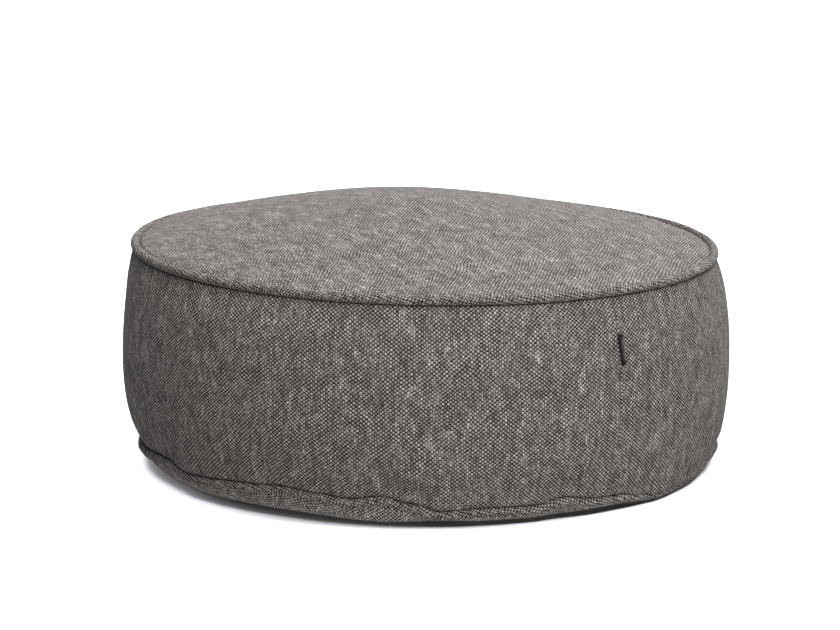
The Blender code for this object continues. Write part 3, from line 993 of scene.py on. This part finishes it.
def cloth(name, pale, sway=1.0, streaks=0.3, sheen=0.0):
    """Woven cloth with warp yarns of this pale tone."""
    made, s, shader = new_material(name)
    where = s.add("ShaderNodeUVMap", uv_map="weave")
    group = s.add("ShaderNodeGroup", node_tree=weave)
    s.feed(group.inputs["Place"], where.outputs[0])
    group.inputs["Warp tone"].default_value = (*pale, 1.0)
    group.inputs["Sway"].default_value = sway
    group.inputs["Streaks"].default_value = streaks
    relief(s, shader, group.outputs["Height"], YARN_RELIEF, strength=0.9)
    s.feed(shader.inputs["Base Color"], group.outputs["Colour"])
    shader.inputs["Roughness"].default_value = 0.9
    shader.inputs["Specular IOR Level"].default_value = 0.1
    shader.inputs["Sheen Weight"].default_value = sheen
    shader.inputs["Sheen Roughness"].default_value = 0.5
    return made


side_cloth = cloth("side cloth", PALE_YARN, streaks=0.42)
top_cloth = cloth("top cloth", PALE_YARN, sway=1.7, streaks=0.42, sheen=0.06)
under_cloth = cloth("under cloth", PAINTED_BOUNCE_LIT_YARN, sway=1.4)
cord_cloth = cloth("cord cloth", PALE_YARN, sway=1.6, streaks=0.1)
print("cloths:", len(bpy.data.materials))

# %% [markdown]
# ## The ribbon
# The tab is a closely ribbed ribbon, nearly black at both ends, with a slightly paler field. Next to
# the seam it is darkened as well, a painted shadow where the ribbon goes into the seam. The tones could
# be painted, but every point's distance from the ends and the seam is known, so two soft steps do the
# same.

# %% Ribbon material
RIB_PITCH = 0.0006
RIB_RELIEF = 0.0002
WEAR_SCALE = 900.0
RIBBON_ENDS_AND_SEAM_SHADE_TONE = (0.005, 0.0045, 0.005)
RIBBON_FIELD_TONE = (0.082, 0.073, 0.077)
# The field fades in over these distances from the ends, and from the painted shadow next to the seam
FIELD_FROM_END = (0.0045, 0.0070)
SEAM_SHADE_FADE = (0.0045, 0.0065)

ribbon, s, shader = new_material("tab ribbon")
where = s.add("ShaderNodeUVMap", uv_map="weave").outputs[0]
across, along, _ = s.split(where)
tone = s.ramp(s.noise(where, WEAR_SCALE, 3.0)[0], 0.3, 0.7, 0.7, 1.5)
from_middle = s.do("ABSOLUTE", s.do("SUBTRACT", along, 0.5 * tab_height))
from_end = s.do("SUBTRACT", 0.5 * tab_height, from_middle)
# Painted shadow: next to the seam the ribbon keeps the dark tone of its ends
field = s.do("MULTIPLY", s.ramp(from_end, *FIELD_FROM_END, smooth=True),
             s.ramp(across, *SEAM_SHADE_FADE, smooth=True))
dyed_and_seam_shaded = s.blend(field, RIBBON_ENDS_AND_SEAM_SHADE_TONE, RIBBON_FIELD_TONE)
s.feed(shader.inputs["Base Color"], s.toned(dyed_and_seam_shaded, tone))
ribs = s.do("SINE", s.do("MULTIPLY", along, 2.0 * math.pi / RIB_PITCH))
relief(s, shader, ribs, RIB_RELIEF, strength=0.5)
shader.inputs["Roughness"].default_value = 0.55
print("ribbon nodes:", len(ribbon.node_tree.nodes))

# %% [markdown]
# ## Dressing the frame
# Each piece is given its cloth, rides on the pouf's one body, and stands for the solid that it covers,
# which is hidden.

# %% Materials, bodies and hidden solids
DRESS = (
    (body, side_cloth, "band_cloth", "side_band"),
    (top_round, top_cloth, "panel_cloth", "top_panel"),
    (bottom_round, under_cloth, "underside_cloth", "bottom_panel"),
    (upper_piping, cord_cloth, "piping_cloth", "top_piping"),
    (lower_piping, cord_cloth, "piping_cloth", "bottom_piping"),
    (seam_tab, ribbon, "label_ribbon", "side_label"),
)
for piece, look, slot, node in DRESS:
    piece.data.materials.append(look)
    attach(piece, "root")
    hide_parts(node)

# %% [markdown]
# ## Floor, light and camera
# The pouf stands on a plain studio floor, which the photograph shows fully white, with
# no more than a thin dark line of shadow where the pouf touches it. In a studio the
# side of the pouf is lit mostly by that floor. Here the floor's light comes from the
# lower half of the world instead, stronger in front and to the right, which costs no
# noise. A broad soft lamp overhead and one behind make the top palest, and a third in
# front and to the right rounds the side. The floor itself is mid grey and lit to white
# by three lamps of its own, so that the line of shadow stays dark. The last of them
# stands low at the left and softens the dark corner there. The camera stands five
# metres back with a long lens, about a metre above the pouf.

# %% Floor
FLOOR_HALF = 30.0
FLOOR_LEVEL = -0.0004
FLOOR_TONE = (0.20, 0.1975, 0.21, 1.0)
corners = [(x * FLOOR_HALF, y * FLOOR_HALF, FLOOR_LEVEL)
           for x, y in ((-1, -1), (1, -1), (1, 1), (-1, 1))]
floor = new_mesh("studio_floor", corners, [(0, 1, 2, 3)])
floor_material, _, shader = new_material("pale floor")
shader.inputs["Base Color"].default_value = FLOOR_TONE
shader.inputs["Roughness"].default_value = 0.9
floor.data.materials.append(floor_material)
floor.visible_diffuse = False
floor.visible_shadow = False
print("floor, metres across:", 2 * FLOOR_HALF)

# %% World, brighter towards the front right and overhead
BRIGHT_SIDE = 25.0
BOUNCE_LEAST, BOUNCE_MORE = 0.26, 1.50
LOW_SKY, HIGH_SKY = 0.04, 1.10
# Heights, as shares of straight up, where the sky brightens and where it starts
SKY_RISE = (0.4, 1.0)
HORIZON = (-0.02, 0.02)
# Away from the bright side the light turns cooler
COOL, NEUTRAL = (0.93, 0.97, 1.05), (1.0, 1.0, 1.0)
COOL_RANGE = (-0.6, 0.4)

world = bpy.data.worlds.new("studio")
bpy.context.scene.world = world
world.use_nodes = True
s = Sums(world.node_tree)
background = world.node_tree.nodes["Background"]
rightwards, backwards, upwards = s.split(s.add("ShaderNodeTexCoord").outputs["Generated"])
toward = s.do("MULTIPLY_ADD", backwards, -math.cos(math.radians(BRIGHT_SIDE)),
              s.do("MULTIPLY", rightwards, math.sin(math.radians(BRIGHT_SIDE))))
facing = s.ramp(toward, 0.0, 1.0, smooth=True)
bounce = s.do("MULTIPLY_ADD", facing, BOUNCE_MORE, BOUNCE_LEAST)
sky = s.ramp(upwards, *SKY_RISE, LOW_SKY, HIGH_SKY, smooth=True)
above = s.ramp(upwards, *HORIZON, smooth=True)
glow = s.do("MULTIPLY_ADD", above, s.do("SUBTRACT", sky, bounce), bounce)
tint = s.blend(s.ramp(toward, *COOL_RANGE), COOL, NEUTRAL)
s.feed(background.inputs["Color"], s.toned(tint, glow))
background.inputs["Strength"].default_value = 1.0
print("world nodes:", len(world.node_tree.nodes))

# %% Lamps
LampRow = namedtuple("LampRow", "name round_from_front elevation spread strength")
LAMPS = (
    LampRow("overhead", 45.0, 75.0, 28.0, 0.72),
    LampRow("key", 22.0, 45.0, 40.0, 0.68),
    LampRow("behind", 160.0, 32.0, 40.0, 0.85),
    LampRow("floor_from_left", -90.0, 68.0, 26.0, 4.10),
    LampRow("floor_from_right", 80.0, 64.0, 26.0, 6.00),
    LampRow("floor_low_left", -115.0, 28.0, 40.0, 1.80),
)


def far_lamp(row):
    """A far, broad lamp; strength is how bright it shows a white surface facing it."""
    data = bpy.data.lights.new(row.name, "SUN")
    data.energy = row.strength * math.pi
    data.angle = math.radians(row.spread)
    lamp = put(row.name, data)
    rise = math.radians(row.elevation)
    towards = Vector(place(row.round_from_front, math.cos(rise), math.sin(rise)))
    lamp.rotation_euler = towards.to_track_quat("Z", "Y").to_euler()
    return lamp


def lights_only(lamp, name, objects, state):
    """The lamp lights only these objects, or with state EXCLUDE all but these."""
    chosen = bpy.data.collections.new(name)
    for item in objects:
        chosen.objects.link(item)
    for entry in chosen.collection_objects:
        entry.light_linking.link_state = state
    lamp.light_linking.receiver_collection = chosen


for row in LAMPS:
    on_floor = row.name.startswith("floor")
    lights_only(far_lamp(row), row.name + " lights", [floor], "INCLUDE" if on_floor else "EXCLUDE")
print("lamps:", len(LAMPS))

# %% Camera
FRAME_WIDTH = 840
FOCAL_PIXELS = 4043.0
SENSOR = 36.0
CAMERA_PITCH = 11.461
CAMERA_PLACE = (-0.0062, -5.271, 1.261)
camera_data = bpy.data.cameras.new("camera")
camera_data.sensor_width = SENSOR
camera_data.lens = FOCAL_PIXELS / FRAME_WIDTH * SENSOR
camera = put("camera", camera_data)
camera.location = CAMERA_PLACE
camera.rotation_euler = (math.radians(90.0 - CAMERA_PITCH), 0.0, 0.0)
bpy.context.scene.camera = camera
bpy.context.scene.view_settings.view_transform = "Standard"
bpy.context.scene.view_settings.look = "None"
print("lens, mm:", round(camera_data.lens, 1))
